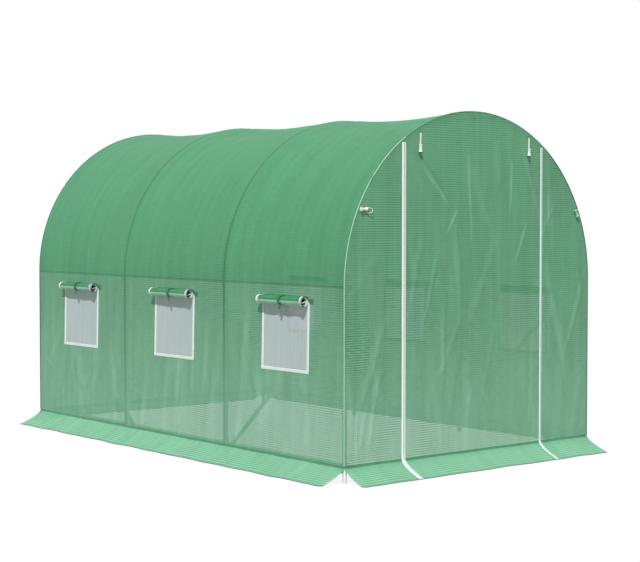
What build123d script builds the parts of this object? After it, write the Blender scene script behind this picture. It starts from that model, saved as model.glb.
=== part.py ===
"""Polytunnel greenhouse: tube hoops, rails and braces under a woven cover with skirts, windows and a zip door.

The door end faces -Y, left is -X, the ground is z = 0 and the origin is in the middle of the plan.
"""
import os
from math import atan2, cos, sqrt, tan

from build123d import *

os.makedirs("parts", exist_ok=True)

# Driving dimensions, millimetres
width = 2000.0                # outside of the cover, wall to wall
spring_height = 1080.0        # where the upright walls turn into the arch
bay_length = 1105.0           # from hoop to hoop
bay_count = 3
seat = 0.3                    # clearance between pieces that rest on each other
cut_overrun = 50.0            # how far a cutting block runs past what it cuts

# Galvanised tubes
tube_diameter = 25.0
tube_wall = 1.2
spigot_length = 60.0          # the ends of an arch reach this far into the legs
tube_overhang = 10.0          # rails run on this far past the middle of the end hoops and legs
rail_height = 92.0            # centre of the side base rails

# Cover, drawn thicker than the woven sheet
cover_thickness = 3.0
skirt_top = 100.0             # where wall and skirt meet
skirt_knee = 68.0             # height of the skirt's bend
skirt_reach = 155.0           # from the wall to the hem on the ground
skirt_bend = 40.0             # radius of the bend, outside

# Windows in the long walls, one to a bay
window_width = 440.0          # outside of the white trim
window_height = 405.0
window_drop = 95.0            # from the spring line down to the top of the trim
window_spread = 25.0          # how much farther apart the windows are than the bays
trim_width = 19.0
trim_thickness = 2.0
net_thickness = 1.5

# Window flaps, rolled up and tied above the windows
roll_length = 428.0
roll_diameter = 54.0
roll_rise = 5.0               # from the top of the trim up to the centre of the roll
roll_half_turns = 6
flap_thickness = 2.0
flap_spacing = 3.0            # from one turn of the roll to the next
strap_width = 20.0
strap_thickness = 1.5

# Door in the front end, between two zips
zip_place = 565.0             # from the middle of the front to each zip
zip_edge_gap = 10.0           # from the top of a zip up to the arch
zip_tape_width = 30.0
zip_tape_thickness = 1.5
zip_coil_width = 8.0
zip_coil_height = 2.0
door_seam = 1.0               # gap under each zip

# Ties on the front end
door_tie_place = 446.0        # from the middle of the front to each tie
door_tie_drop = 34.0          # from the arch down to the top of a tie
door_tie_length = 64.0
tie_width = 12.0
tie_thickness = 2.0
toggle_length = 44.0
toggle_diameter = 25.0
toggle_waist = 16.0
edge_toggle_rise = 429.0      # from the spring line up to the edge toggles
left_toggle_inset = 4.0       # from the arch to the left edge toggle
right_toggle_inset = 20.0     # from the arch to the right edge toggle

# Worked out from the above
tube_radius = tube_diameter / 2
tube_bore = tube_radius - tube_wall
half_width = width / 2
hoop_radius = half_width - cover_thickness - seat - tube_radius
layer = tube_diameter + seat                   # from a tube's centre to one that crosses it
rail_place = hoop_radius - layer               # rails, purlins and ridge lie just inside the hoops
brace_place = rail_place - layer               # braces lie just inside the rails
dip = layer                                    # the cover sinks between hoops until it rests on the rails
hoop_places = [(i - bay_count / 2) * bay_length for i in range(bay_count + 1)]
bay_middles = [place + bay_length / 2 for place in hoop_places[:-1]]
window_middles = [middle + (i - (bay_count - 1) / 2) * window_spread for i, middle in enumerate(bay_middles)]
frame_length = bay_count * bay_length + 2 * tube_overhang
end_face = hoop_places[-1] + tube_radius + seat
half_length = end_face + cover_thickness
spring_axis = Axis((0, 0, spring_height), (0, -1, 0))
skirt_slope = atan2(skirt_knee, skirt_reach + cover_thickness)
sides = (("left", -1), ("right", 1))


def arch_height(x):
    """Height of the cover's outside edge over a place on the front or rear."""
    return spring_height + sqrt(half_width**2 - x**2)


def cover_x(y, z):
    """Half width of the cover at a place on a long wall: straight at the foot, dipping between hoops above."""
    bay_share = (y / bay_length + bay_count / 2) % 1
    rise_share = (z - skirt_top) / (spring_height - skirt_top)
    return half_width - 4 * bay_share * (1 - bay_share) * rise_share * dip


def upright_plane(outward, x, y):
    """Upright plane with its first axis pointing out of the building and its second axis up."""
    return Plane(origin=(x, y, 0), x_dir=outward, z_dir=Vector(*outward).cross(Vector(0, 0, 1)))


def save(builder, name):
    """Label a finished piece and write it out."""
    builder.part.label = name
    export_step(builder.part, f"parts/{name}.step")


def straight_tubes(name, planes, length):
    """Open tubes of one length, each along the normal of its plane."""
    with BuildPart() as tubes:
        with BuildSketch(*planes):
            Circle(tube_radius)
            Circle(tube_bore, mode=Mode.SUBTRACT)
        extrude(amount=length)
    save(tubes, name)


def cover_section(middle, span, height, outside, inside):
    """Plan section of a sheet that follows the cover, between two distances from its outside face."""
    ends = [middle - span / 2, middle + span / 2]
    with BuildSketch(Plane.XY.offset(height)) as section:
        with BuildLine():
            for distance in (outside, inside):
                first, last = [(cover_x(y, height) + distance, y) for y in ends]
                bow = 2 * (cover_x(middle, height) + distance) - (first[0] + last[0]) / 2
                Bezier(first, (bow, middle), last)
            for y in ends:
                Line((cover_x(y, height) + outside, y), (cover_x(y, height) + inside, y))
        make_face()
    return section.sketch


def skirt_section(plane, lift, thickness):
    """Section of a bent sheet that lies at a distance above the skirt's underside."""
    corners = []
    for distance in (lift, lift + thickness):
        wall = distance - cover_thickness
        hem = distance / cos(skirt_slope)
        knee = hem + (skirt_reach - wall) * tan(skirt_slope)
        corners.append([(wall, skirt_top), (wall, knee), (skirt_reach, hem)])
    under, over = corners
    with BuildSketch(plane) as section:
        with BuildLine():
            Polyline(*under, *reversed(over), close=True)
        make_face()
        for run, radius in ((under, skirt_bend + cover_thickness - lift),
                            (over, skirt_bend + cover_thickness - lift - thickness)):
            fillet(section.vertices().sort_by_distance(run[1])[0], radius)
    return section.sketch


def end_panel(name, plane, x_from, x_to):
    """Flat sheet of an end wall between two upright seams, under the arch."""
    with BuildPart() as panel:
        with BuildSketch(plane):
            with BuildLine():
                Polyline((-half_width, spring_height), (-half_width, skirt_top),
                         (half_width, skirt_top), (half_width, spring_height))
                ThreePointArc((half_width, spring_height), (0, arch_height(0)), (-half_width, spring_height))
            make_face()
            with Locations(((x_from + x_to) / 2, spring_height)):
                Rectangle(x_to - x_from, 2 * spring_height + width, mode=Mode.INTERSECT)
        extrude(amount=cover_thickness)
    save(panel, name)


def skirt(name, plane, length):
    """Skirt along the foot of a wall, half its length to each side of the plane."""
    with BuildPart() as sheet:
        extrude(skirt_section(plane, 0, cover_thickness), amount=length / 2, both=True)
    save(sheet, name)


def toggle(top, along):
    """Waisted plastic toggle on the front, from the middle of its top along its length."""
    plane = Plane(origin=top, x_dir=Vector(*along).cross(Vector(0, 1, 0)), z_dir=(0, 1, 0))
    with BuildPart() as body:
        with BuildSketch(plane):
            with BuildLine():
                ThreePointArc((toggle_diameter / 2, 0), (toggle_waist / 2, toggle_length / 2),
                              (toggle_diameter / 2, toggle_length))
                Polyline((toggle_diameter / 2, toggle_length), (0, toggle_length), (0, 0),
                         (toggle_diameter / 2, 0))
            make_face()
        revolve(axis=Axis(top, along))
    return body.part


# Hoops: two legs and a bent arch each
for side, sign in sides:
    leg_planes = [Plane((sign * hoop_radius, y, 0)) for y in hoop_places]
    straight_tubes(f"{side}_legs", leg_planes, spring_height)

for number, y in enumerate(hoop_places, 1):
    with BuildPart() as arch:
        with BuildSketch(Plane.XY.offset(spring_height)):
            with Locations((hoop_radius, y)):
                Circle(tube_radius)
        revolve(axis=spring_axis, revolution_arc=180)
        with BuildSketch(Plane.XY.offset(spring_height)):
            with Locations((hoop_radius, y), (-hoop_radius, y)):
                Circle(tube_bore - seat)
        extrude(amount=-spigot_length)
    save(arch, f"hoop_arch_{number}")

# Ridge, purlins and base rails, bolted across the inside of the hoops
rail_start = Plane(origin=(0, -frame_length / 2, 0), x_dir=(1, 0, 0), z_dir=(0, 1, 0))
ridge_plane = Plane(rail_start.origin + (0, 0, spring_height + rail_place), z_dir=(0, 1, 0))
straight_tubes("ridge_pole", [ridge_plane], frame_length)
for side, sign in sides:
    for name, height in (("purlin", spring_height), ("base_rail", rail_height)):
        plane = Plane(rail_start.origin + (sign * rail_place, 0, height), z_dir=(0, 1, 0))
        straight_tubes(f"{side}_{name}", [plane], frame_length)

end_rail_length = 2 * (hoop_radius + tube_overhang)
for name, y in (("front", hoop_places[0] + layer), ("rear", hoop_places[-1] - layer)):
    plane = Plane((-end_rail_length / 2, y, rail_height - layer), z_dir=(1, 0, 0))
    straight_tubes(f"{name}_base_rail", [plane], end_rail_length)

# Braces in the end bays, from the foot of the inner hoop to the purlin at the end hoop
for side, sign in sides:
    brace_planes = []
    for foot, head in ((hoop_places[1], hoop_places[0]), (hoop_places[-2], hoop_places[-1])):
        low = Vector(sign * brace_place, foot, rail_height)
        high = Vector(sign * brace_place, head, spring_height)
        brace_planes.append(Plane(low, z_dir=high - low))
    straight_tubes(f"{side}_braces", brace_planes, (high - low).length)

# Roof sheet, carried over the hoops in a half turn and dipping between them
end_run = end_face - hoop_places[-1]
for bay, middle in enumerate(bay_middles):
    with BuildPart() as roof:
        revolve(cover_section(middle, bay_length, spring_height, 0, -cover_thickness),
                axis=spring_axis, revolution_arc=180)
        for end, end_bay in ((-1, 0), (1, bay_count - 1)):
            if bay == end_bay:
                with BuildSketch(Plane.XY.offset(spring_height)):
                    with Locations((half_width - cover_thickness / 2, end * (end_face - end_run / 2))):
                        Rectangle(cover_thickness, end_run)
                revolve(axis=spring_axis, revolution_arc=180)
    save(roof, f"roof_bay_{bay + 1}")

# Long walls, each with a net, a white trim and a rolled-up flap in every bay
window_sill = spring_height - window_drop - window_height
trim_rim = trim_width / 2
hole_width = window_width - 2 * trim_rim
hole_height = window_height - 2 * trim_rim
hole_sill = window_sill + trim_rim
window_middle = window_sill + window_height / 2
cut_depth = 2 * (dip + cover_thickness + cut_overrun)
roll_radius = roll_diameter / 2
roll_height = window_sill + window_height + roll_rise
roll_top = roll_height + roll_radius
strap_radius = roll_radius + seat
roll_planes = [upright_plane((1, 0, 0), 0, y) for y in window_middles]
roll_end_wall = cover_x(window_middles[0] - roll_length / 2, roll_height)
trim_end_wall = cover_x(window_middles[0] - window_width / 2, roll_height)
roll_place = max(roll_end_wall, trim_end_wall + trim_thickness) + seat + roll_radius

# Room inside the right wall's face, which the flaps and straps are trimmed to
with BuildPart() as room:
    for middle in bay_middles:
        loft([cover_section(middle, bay_length, height, seat, -dip - cut_overrun)
              for height in (skirt_top, spring_height)], ruled=True)
inside_of_wall = room.part

for side, sign in sides:
    window_places = [(sign * half_width, y, window_middle) for y in window_middles]

    with BuildPart() as wall:
        for middle in bay_middles:
            loft([cover_section(middle, bay_length, height, 0, -cover_thickness)
                  for height in (skirt_top, spring_height)], ruled=True)
        with Locations(*[(half_width, end * (end_face - end_run / 2), skirt_top) for end in (-1, 1)]):
            Box(cover_thickness, end_run, spring_height - skirt_top, align=(Align.MAX, Align.CENTER, Align.MIN))
        if sign < 0:
            mirror(about=Plane.YZ, mode=Mode.REPLACE)
        with Locations(*window_places):
            Box(cut_depth, hole_width, hole_height, mode=Mode.SUBTRACT)
    save(wall, f"{side}_wall")

    with BuildPart() as nets:
        for middle in window_middles:
            loft([cover_section(middle, hole_width - 2 * seat, height, 0, -net_thickness)
                  for height in (hole_sill + seat, hole_sill + hole_height - seat)], ruled=True)
        if sign < 0:
            mirror(about=Plane.YZ, mode=Mode.REPLACE)
    save(nets, f"{side}_window_nets")

    with BuildPart() as trims:
        for middle in window_middles:
            loft([cover_section(middle, window_width, height, trim_thickness, 0)
                  for height in (window_sill, window_sill + window_height)], ruled=True)
        if sign < 0:
            mirror(about=Plane.YZ, mode=Mode.REPLACE)
        with Locations(*window_places):
            Box(cut_depth, window_width - 2 * trim_width, window_height - 2 * trim_width, mode=Mode.SUBTRACT)
    save(trims, f"{side}_window_trims")

    # The flap is sewn to the wall, runs over the top of its roll and then inwards, half a turn at a time
    with BuildPart() as rolls:
        with BuildSketch(*roll_planes):
            with BuildLine():
                for depth in (0, flap_thickness):
                    turn_start = roll_top
                    Line((half_width - dip, turn_start - depth), (roll_place, turn_start - depth))
                    for half_turn in range(roll_half_turns):
                        way = 1 if half_turn % 2 == 0 else -1
                        radius = roll_radius - half_turn * flap_spacing / 2
                        turn_stop = turn_start - 2 * way * radius
                        ThreePointArc((roll_place, turn_start - way * depth),
                                      (roll_place + way * (radius - depth), turn_start - way * radius),
                                      (roll_place, turn_stop + way * depth))
                        turn_start = turn_stop
                Line((half_width - dip, roll_top), (half_width - dip, roll_top - flap_thickness))
                Line((roll_place, turn_stop), (roll_place, turn_stop + way * flap_thickness))
            make_face()
        extrude(amount=roll_length / 2, both=True)
        add(inside_of_wall, mode=Mode.SUBTRACT)
        if sign < 0:
            mirror(about=Plane.YZ, mode=Mode.REPLACE)
    save(rolls, f"{side}_flap_rolls")

    with BuildPart() as straps:
        with BuildSketch(*roll_planes):
            with BuildLine():
                for radius in (strap_radius, strap_radius + strap_thickness):
                    Line((half_width - dip, roll_height + radius), (roll_place, roll_height + radius))
                    ThreePointArc((roll_place, roll_height + radius), (roll_place + radius, roll_height),
                                  (roll_place, roll_height - radius))
                    Line((roll_place, roll_height - radius), (half_width - dip, roll_height - radius))
                for way in (-1, 1):
                    Line((half_width - dip, roll_height + way * strap_radius),
                         (half_width - dip, roll_height + way * (strap_radius + strap_thickness)))
            make_face()
        extrude(amount=strap_width / 2, both=True)
        add(inside_of_wall, mode=Mode.SUBTRACT)
        if sign < 0:
            mirror(about=Plane.YZ, mode=Mode.REPLACE)
    save(straps, f"{side}_roll_straps")

    skirt(f"{side}_skirt", upright_plane((sign, 0, 0), sign * half_width, 0), 2 * end_face)

# End walls: the front one is parted at the two zips, the rear one is a single sheet
front_plane = Plane.XZ.offset(end_face)
rear_plane = Plane.XZ.offset(-half_length)
door_edge = zip_place - door_seam / 2
panel_edge = zip_place + door_seam / 2
end_panel("front_left_panel", front_plane, -half_width, -panel_edge)
end_panel("door_panel", front_plane, -door_edge, door_edge)
end_panel("front_right_panel", front_plane, panel_edge, half_width)
end_panel("rear_panel", rear_plane, -half_width, half_width)

side_skirt_middle = (half_width + panel_edge) / 2
for name, x, length in (("front_left_skirt", -side_skirt_middle, half_width - panel_edge),
                        ("door_skirt", 0, 2 * door_edge),
                        ("front_right_skirt", side_skirt_middle, half_width - panel_edge)):
    skirt(name, upright_plane((0, -1, 0), x, -half_length), length)
skirt("rear_skirt", upright_plane((0, 1, 0), 0, half_length), width)

# Zips: a tape with a raised coil, from just under the arch down over the skirt to the hem
for side, sign in sides:
    zip_plane = upright_plane((0, -1, 0), sign * zip_place, -half_length)
    zip_top = arch_height(zip_place + zip_tape_width / 2) - zip_edge_gap
    with BuildPart() as door_zip:
        for lift, height, across in ((cover_thickness, zip_tape_thickness, zip_tape_width),
                                     (cover_thickness + zip_tape_thickness, zip_coil_height, zip_coil_width)):
            extrude(skirt_section(zip_plane, lift, height), amount=across / 2, both=True)
            with BuildSketch(zip_plane):
                with Locations((lift - cover_thickness, skirt_top)):
                    Rectangle(height, zip_top - skirt_top, align=(Align.MIN, Align.MIN))
            extrude(amount=across / 2, both=True)
    save(door_zip, f"{side}_door_zip")

# Ties that hold the rolled-up door, and the toggles at the edges of the arch
toggle_face = -half_length - toggle_diameter / 2 - seat
tie_top = arch_height(door_tie_place) - door_tie_drop
with BuildPart() as door_ties:
    with Locations(*[(sign * door_tie_place, -half_length - seat, tie_top) for side, sign in sides]):
        Box(tie_width, tie_thickness, door_tie_length, align=(Align.CENTER, Align.MAX, Align.MAX))
save(door_ties, "door_ties")

with BuildPart() as door_toggles:
    for side, sign in sides:
        add(toggle((sign * door_tie_place, toggle_face, tie_top - door_tie_length), (0, 0, -1)))
save(door_toggles, "door_toggles")

# The left one points into the front, the right one lies along the arch
left_edge_reach = half_width - left_toggle_inset
left_edge_height = edge_toggle_rise + toggle_diameter / 2
right_edge_reach = half_width - right_toggle_inset - toggle_diameter / 2
with BuildPart() as edge_toggles:
    left_place = sqrt(left_edge_reach**2 - left_edge_height**2)
    add(toggle((-left_place, toggle_face, spring_height + edge_toggle_rise), (1, 0, 0)))
    right_place = sqrt(right_edge_reach**2 - edge_toggle_rise**2)
    down_the_arch = Vector(edge_toggle_rise, 0, -right_place).normalized()
    add(toggle((right_place, toggle_face, spring_height + edge_toggle_rise), tuple(down_the_arch)))
save(edge_toggles, "edge_toggles")
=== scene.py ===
# %% [markdown]
# # A walk-in polytunnel greenhouse
# The real one is a frame of bent steel tubes with a woven plastic cover pulled over it. The tubes come from
# the CAD frame and only get a finish here. The cover and all that is sewn to it is soft, so each of those
# pieces is made again as a thin mesh that lies where its CAD solid is.

# %% Load the frame
import math
from random import Random

import bmesh
import bpy
import numpy as np
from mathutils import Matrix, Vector


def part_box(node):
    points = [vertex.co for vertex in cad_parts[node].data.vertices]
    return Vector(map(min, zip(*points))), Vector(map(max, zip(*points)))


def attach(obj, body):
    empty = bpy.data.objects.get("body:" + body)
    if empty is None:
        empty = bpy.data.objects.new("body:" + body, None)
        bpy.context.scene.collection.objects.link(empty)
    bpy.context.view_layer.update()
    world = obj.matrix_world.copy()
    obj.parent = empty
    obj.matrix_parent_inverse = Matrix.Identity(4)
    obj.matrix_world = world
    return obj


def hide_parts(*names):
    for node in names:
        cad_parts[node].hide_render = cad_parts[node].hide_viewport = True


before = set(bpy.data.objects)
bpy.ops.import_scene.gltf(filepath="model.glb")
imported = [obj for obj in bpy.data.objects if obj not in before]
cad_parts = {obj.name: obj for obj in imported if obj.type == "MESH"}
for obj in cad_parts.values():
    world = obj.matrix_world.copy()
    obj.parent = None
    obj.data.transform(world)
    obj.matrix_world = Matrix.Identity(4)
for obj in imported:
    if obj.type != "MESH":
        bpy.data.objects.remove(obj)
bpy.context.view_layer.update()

# %% [markdown]
# ## Sizes
# Nothing is measured twice: the places of the hoops, walls and skirts are read from the CAD boxes. The door
# end looks towards -Y, left is -X, and lengths are metres. `MM` turns the small sizes that a maker would
# give in millimetres into metres. Sizes that are typed in have names in capitals.

# %% Read the main sizes from the frame
MM = 0.001
X, Y = 0, 1
WINDOW_WIDTH, TRIM_WIDTH = 440 * MM, 19 * MM
SKIN = 0.5 * MM                              # how far the drawn sheets lie under the outside of the CAD cover
SIDES = (("left", -1), ("right", 1))


def middle_of(node, axis):
    """Middle of a CAD node's box along an axis."""
    low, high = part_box(node)
    return (low[axis] + high[axis]) / 2


wall_low, wall_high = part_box("left_wall")
half_width = -wall_low.x
skirt_top, spring_height = wall_low.z, wall_high.z
wall_height = spring_height - skirt_top
half_length = -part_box("door_panel")[0].y
skirt_reach = -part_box("left_skirt")[0].x - half_width
hoop_places = [middle_of(f"hoop_arch_{number}", Y) for number in (1, 2, 3, 4)]
bay_length = hoop_places[1] - hoop_places[0]
bay_middles = [place + bay_length / 2 for place in hoop_places[:-1]]
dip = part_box("left_purlin")[0].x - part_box("left_legs")[0].x
zip_place = middle_of("right_door_zip", X)
window_low, window_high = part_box("left_window_trims")
window_pitch = (window_high.y - window_low.y - WINDOW_WIDTH) / 2
window_middles = [window_low.y + WINDOW_WIDTH / 2 + number * window_pitch for number in (0, 1, 2)]
windows = [(side, sign, number, middle) for side, sign in SIDES
           for number, middle in enumerate(window_middles, 1)]
print(f"walls {2 * half_width:.3f} m apart, ridge at {spring_height + half_width:.3f} m, "
      f"{len(bay_middles)} bays of {bay_length:.3f} m, cover dips {dip / MM:.1f} mm between hoops")

# %% [markdown]
# ## Camera
# The photograph was taken from the left of the door end, from a little under eye level, with a long lens.
# The place and angles below were worked out from the corners of the building, so the render can be laid
# over the picture.

# %% Camera at the photograph's place
CAMERA_PLACE = (-6.499, -8.149, 1.464)
CAMERA_YAW, CAMERA_PITCH = 39.44, -2.34      # degrees, from +Y towards +X and up from level
CAMERA_LENS, SENSOR_WIDTH = 87.71, 36.0      # millimetres

scene = bpy.context.scene
camera = bpy.data.objects.new("camera", bpy.data.cameras.new("camera"))
camera.location = CAMERA_PLACE
camera.rotation_euler = (math.radians(90 + CAMERA_PITCH), 0, math.radians(-CAMERA_YAW))
camera.data.lens, camera.data.sensor_width = CAMERA_LENS, SENSOR_WIDTH
scene.collection.objects.link(camera)
scene.camera = camera
scene.view_settings.view_transform = "Standard"
print(f"camera {CAMERA_LENS:.1f} mm at {CAMERA_PLACE}")

# %% [markdown]
# ## Colours and nodes
# A colour picked from a screen is an sRGB code, but Blender mixes light in linear values, so one function
# turns the code into linear numbers. A second function adds a shader node, sets it and links it in one
# call, which keeps each material short enough to read as a recipe.

# %% Colour and node helpers
MIX_LOW, MIX_HIGH = 2, 3                     # where a Mix node keeps its plain numbers
MIX_A, MIX_B, MIX_COLOUR = 6, 7, 2           # and its colours and the mixed colour


def linear(code):
    """Linear RGBA from an sRGB code such as "#7fae93"."""
    parts = [int(code[i:i + 2], 16) / 255 for i in (1, 3, 5)]
    return tuple(p / 12.92 if p <= 0.04045 else ((p + 0.055) / 1.055) ** 2.4 for p in parts) + (1.0,)


def add_node(tree, kind, inputs=None, **settings):
    """Add a node: its settings, then its inputs: plain values, outputs, or nodes for their first output."""
    node = tree.nodes.new("ShaderNode" + kind)
    for name, value in settings.items():
        setattr(node, name, value)
    for name, value in (inputs or {}).items():
        source = value.outputs[0] if isinstance(value, bpy.types.Node) else value
        if isinstance(source, bpy.types.NodeSocket):
            tree.links.new(source, node.inputs[name])
        else:
            node.inputs[name].default_value = source
    return node


def empty_material(name):
    """A material with nothing in its node tree."""
    material = bpy.data.materials.new(name)
    material.use_nodes = True
    material.node_tree.nodes.clear()
    return material, material.node_tree


print("green of the cover in linear light:", [round(v, 3) for v in linear("#6ca583")])

# %% [markdown]
# ## Studio
# The object stands on a white floor under a white sky, with one sun from the left behind the camera: it
# draws the shadows under the rolled flaps. Rays from the camera, from shiny metal and from clear parts see
# most of the floor as plain white. All other rays meet a matt grey floor, so the light on the object stays
# at a plain level, and the small share of paint in the white keeps the object's shadow.

# %% Sky and sun
SKY_LEVEL = 0.24
SUN_LEVEL = 3.6
SUN_TRAVEL = (1.0, 0.9, -1.45)               # the way the light goes
SUN_SOFTNESS = 2.0                           # degrees


def add_shown(tree):
    """1 for rays that look at the surface: from the camera, a shiny surface or a clear one."""
    path = add_node(tree, "LightPath").outputs
    two = add_node(tree, "Math", {0: path["Is Camera Ray"], 1: path["Is Glossy Ray"]}, operation="ADD")
    return add_node(tree, "Math", {0: two, 1: path["Is Transmission Ray"]}, operation="ADD", use_clamp=True)


scene.world = bpy.data.worlds.new("white_studio")
scene.world.use_nodes = True
sky = scene.world.node_tree
sky.nodes.clear()
level = add_node(sky, "MapRange", {"Value": add_shown(sky), "To Min": SKY_LEVEL, "To Max": 1.0})
glow = add_node(sky, "Background", {"Color": linear("#ffffff"), "Strength": level})
add_node(sky, "OutputWorld", {"Surface": glow})

sun = bpy.data.objects.new("sun", bpy.data.lights.new("sun", "SUN"))
sun.data.energy, sun.data.angle = SUN_LEVEL, math.radians(SUN_SOFTNESS)
sun.rotation_mode = "QUATERNION"
sun.rotation_quaternion = Vector(SUN_TRAVEL).to_track_quat("-Z", "Y")
scene.collection.objects.link(sun)
print(f"sky {SKY_LEVEL}, sun {SUN_LEVEL} travelling {SUN_TRAVEL}")

# %% Floor
FLOOR_SIZE = 80.0
FLOOR_WHITE_SHARE = 0.88                     # how much of the floor is plain white to the camera

floor_paint, tree = empty_material("matt_white_floor")
shown = add_shown(tree)
share = add_node(tree, "Math", {0: shown, 1: FLOOR_WHITE_SHARE}, operation="MULTIPLY")
paint = add_node(tree, "Mix", {0: shown, MIX_A: linear("#acacaa"), MIX_B: linear("#fafafa")},
                 data_type="RGBA")
matt = add_node(tree, "BsdfDiffuse", {"Color": paint.outputs[MIX_COLOUR]})
white = add_node(tree, "Emission", {"Color": linear("#ffffff"), "Strength": 1.0})
both = add_node(tree, "MixShader", {0: share, 1: matt, 2: white})
add_node(tree, "OutputMaterial", {"Surface": both})

half_floor = FLOOR_SIZE / 2
floor_corners = [(x * half_floor, y * half_floor, 0) for x, y in ((-1, -1), (1, -1), (1, 1), (-1, 1))]
floor_mesh = bpy.data.meshes.new("floor")
floor_mesh.from_pydata(floor_corners, [], [(0, 1, 2, 3)])
floor_mesh.materials.append(floor_paint)
floor = bpy.data.objects.new("floor", floor_mesh)
scene.collection.objects.link(floor)
print(f"floor {FLOOR_SIZE} m across")

# %% [markdown]
# ## Galvanised tubes
# The hoops, rails and braces are thin steel tubes dipped in zinc. Zinc cools in flat crystals, called
# spangle, so the metal looks like a soft patchwork of slightly different greys. The CAD tubes have the
# right shape already and only get this finish.

# %% Galvanised steel on the CAD tubes
SPANGLE = 9 * MM                             # width of a zinc crystal
TUBE_ENDINGS = ("legs", "purlin", "base_rail", "braces", "ridge_pole")

# Hot-dipped zinc under its chalky white bloom: pale, more matt than metal, with faint crystal patches.
galvanised, tree = empty_material("galvanised_steel")
place = add_node(tree, "TexCoord").outputs["Object"]
crystals = add_node(tree, "TexVoronoi", {"Vector": place, "Scale": 1 / SPANGLE}).outputs["Color"]
grey = add_node(tree, "Mix", {0: crystals, MIX_A: linear("#d2d6d8"), MIX_B: linear("#eceeee")},
                data_type="RGBA")
rough = add_node(tree, "MapRange", {"Value": crystals, "To Min": 0.34, "To Max": 0.52})
steel = add_node(tree, "BsdfPrincipled", {"Base Color": grey.outputs[MIX_COLOUR], "Metallic": 0.25,
                                          "Roughness": rough})
add_node(tree, "OutputMaterial", {"Surface": steel})

tube_nodes = [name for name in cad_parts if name.startswith("hoop_arch") or name.endswith(TUBE_ENDINGS)]
for name in tube_nodes:
    tube_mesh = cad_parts[name].data
    tube_mesh.materials.clear()
    tube_mesh.materials.append(galvanised)
print(f"galvanised finish on {len(tube_nodes)} nodes of tube")

# %% [markdown]
# ## Woven cover cloth
# The cover is polyethylene: flat tapes woven to an open grid and laminated between two thin films. The
# tapes block more light than the film between them, so from near by the wall is a fine grid with paler
# windows, and the floor and the tubes show through it. Three shaders make that: a matt plastic for the
# light it throws back, a Translucent shader for the light that soaks through from behind, and a Transparent
# one for what is seen through the film. The real tapes are about 5 mm apart, which is finer than a pixel,
# so the grid is drawn coarser, as the picture shows it.

# %% Woven polyethylene
ROW_PITCH, COLUMN_PITCH = 13.4 * MM, 16 * MM  # coarser than the real 5 mm, so that the weave shows
THREAD_HEIGHT = 0.5 * MM
CRUMPLE, CRUMPLE_DEPTH = 90 * MM, 9 * MM      # of the soft dents that packing leaves in the film
PATCH = 400 * MM                              # width of the patches where the weave shows more, or less
STREAK_WIDTH, STREAK_LENGTH = 60 * MM, 700 * MM
WAVE_PERIOD = math.tau / 20                   # of a Wave texture at scale 1


def woven_polyethylene(name, film, tape, glow, film_clear, tape_clear, glow_share=0.26, roughness=0.5):
    """Laminated woven film: the tapes of the grid are darker and less clear than the film between them."""
    material, tree = empty_material(name)
    place = add_node(tree, "UVMap", uv_map="cloth")
    rows, columns = (add_node(tree, "TexWave", {"Vector": place, "Scale": WAVE_PERIOD / pitch},
                              bands_direction=way).outputs["Fac"]
                     for pitch, way in ((ROW_PITCH, "Y"), (COLUMN_PITCH, "X")))
    weft = add_node(tree, "MapRange", {"Value": rows, "From Min": 0.3, "From Max": 0.8})
    warp = add_node(tree, "MapRange", {"Value": columns, "From Min": 0.4, "From Max": 1.0, "To Max": 0.7})
    crossed = add_node(tree, "Math", {0: weft, 1: warp}, operation="MAXIMUM")
    patches = add_node(tree, "TexNoise", {"Vector": place, "Scale": 1 / PATCH, "Detail": 2.0})
    shows = add_node(tree, "MapRange", {"Value": patches.outputs["Fac"], "From Min": 0.35, "From Max": 0.65,
                                        "To Min": 0.4, "To Max": 1.0})
    grid = add_node(tree, "Mix", {0: shows, MIX_LOW: 0.55, MIX_HIGH: crossed})
    long_way = add_node(tree, "Mapping", {"Vector": place, "Scale": (1 / STREAK_WIDTH, 1 / STREAK_LENGTH, 1)})
    streaks = add_node(tree, "TexNoise", {"Vector": long_way, "Scale": 1.0, "Detail": 3.0})
    dents = add_node(tree, "TexNoise", {"Vector": place, "Scale": 1 / CRUMPLE, "Detail": 4.0,
                                        "Distortion": 0.6})
    weave = add_node(tree, "Mix", {0: grid, MIX_A: linear(film), MIX_B: linear(tape)}, data_type="RGBA")
    # Whiter film: worn white on creases and folds, and painted light from the floor near the ground.
    wear_and_bounce = add_node(tree, "Attribute", attribute_name="wear_and_painted_bounce")
    worn_and_bounce_lit = add_node(tree, "Mix", {0: wear_and_bounce.outputs["Fac"], MIX_A: weave.outputs[MIX_COLOUR],
                                   MIX_B: linear("#b8e3d2")}, data_type="RGBA")
    fade = add_node(tree, "MapRange", {"Value": streaks.outputs["Fac"], "From Min": 0.3, "From Max": 0.7,
                                       "To Min": 0.9, "To Max": 1.1})
    colour = add_node(tree, "VectorMath", {0: worn_and_bounce_lit.outputs[MIX_COLOUR], "Scale": fade}, operation="SCALE")
    soft = add_node(tree, "Bump", {"Height": dents.outputs["Fac"], "Distance": CRUMPLE_DEPTH,
                                   "Strength": 0.6})
    thread = add_node(tree, "Bump", {"Height": grid, "Distance": THREAD_HEIGHT, "Normal": soft})
    plastic = add_node(tree, "BsdfPrincipled", {"Base Color": colour, "Roughness": roughness,
                                                "Specular IOR Level": 0.12, "Normal": thread})
    soaked = add_node(tree, "BsdfTranslucent", {"Color": linear(glow), "Normal": soft})
    body = add_node(tree, "MixShader", {0: glow_share, 1: plastic, 2: soaked})
    clear = add_node(tree, "MapRange", {"Value": grid, "To Min": film_clear, "To Max": tape_clear})
    through = add_node(tree, "BsdfTransparent", {"Color": linear("#f7fcf8")})
    cloth = add_node(tree, "MixShader", {0: clear, 1: body, 2: through})
    add_node(tree, "OutputMaterial", {"Surface": cloth})
    return material


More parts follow.
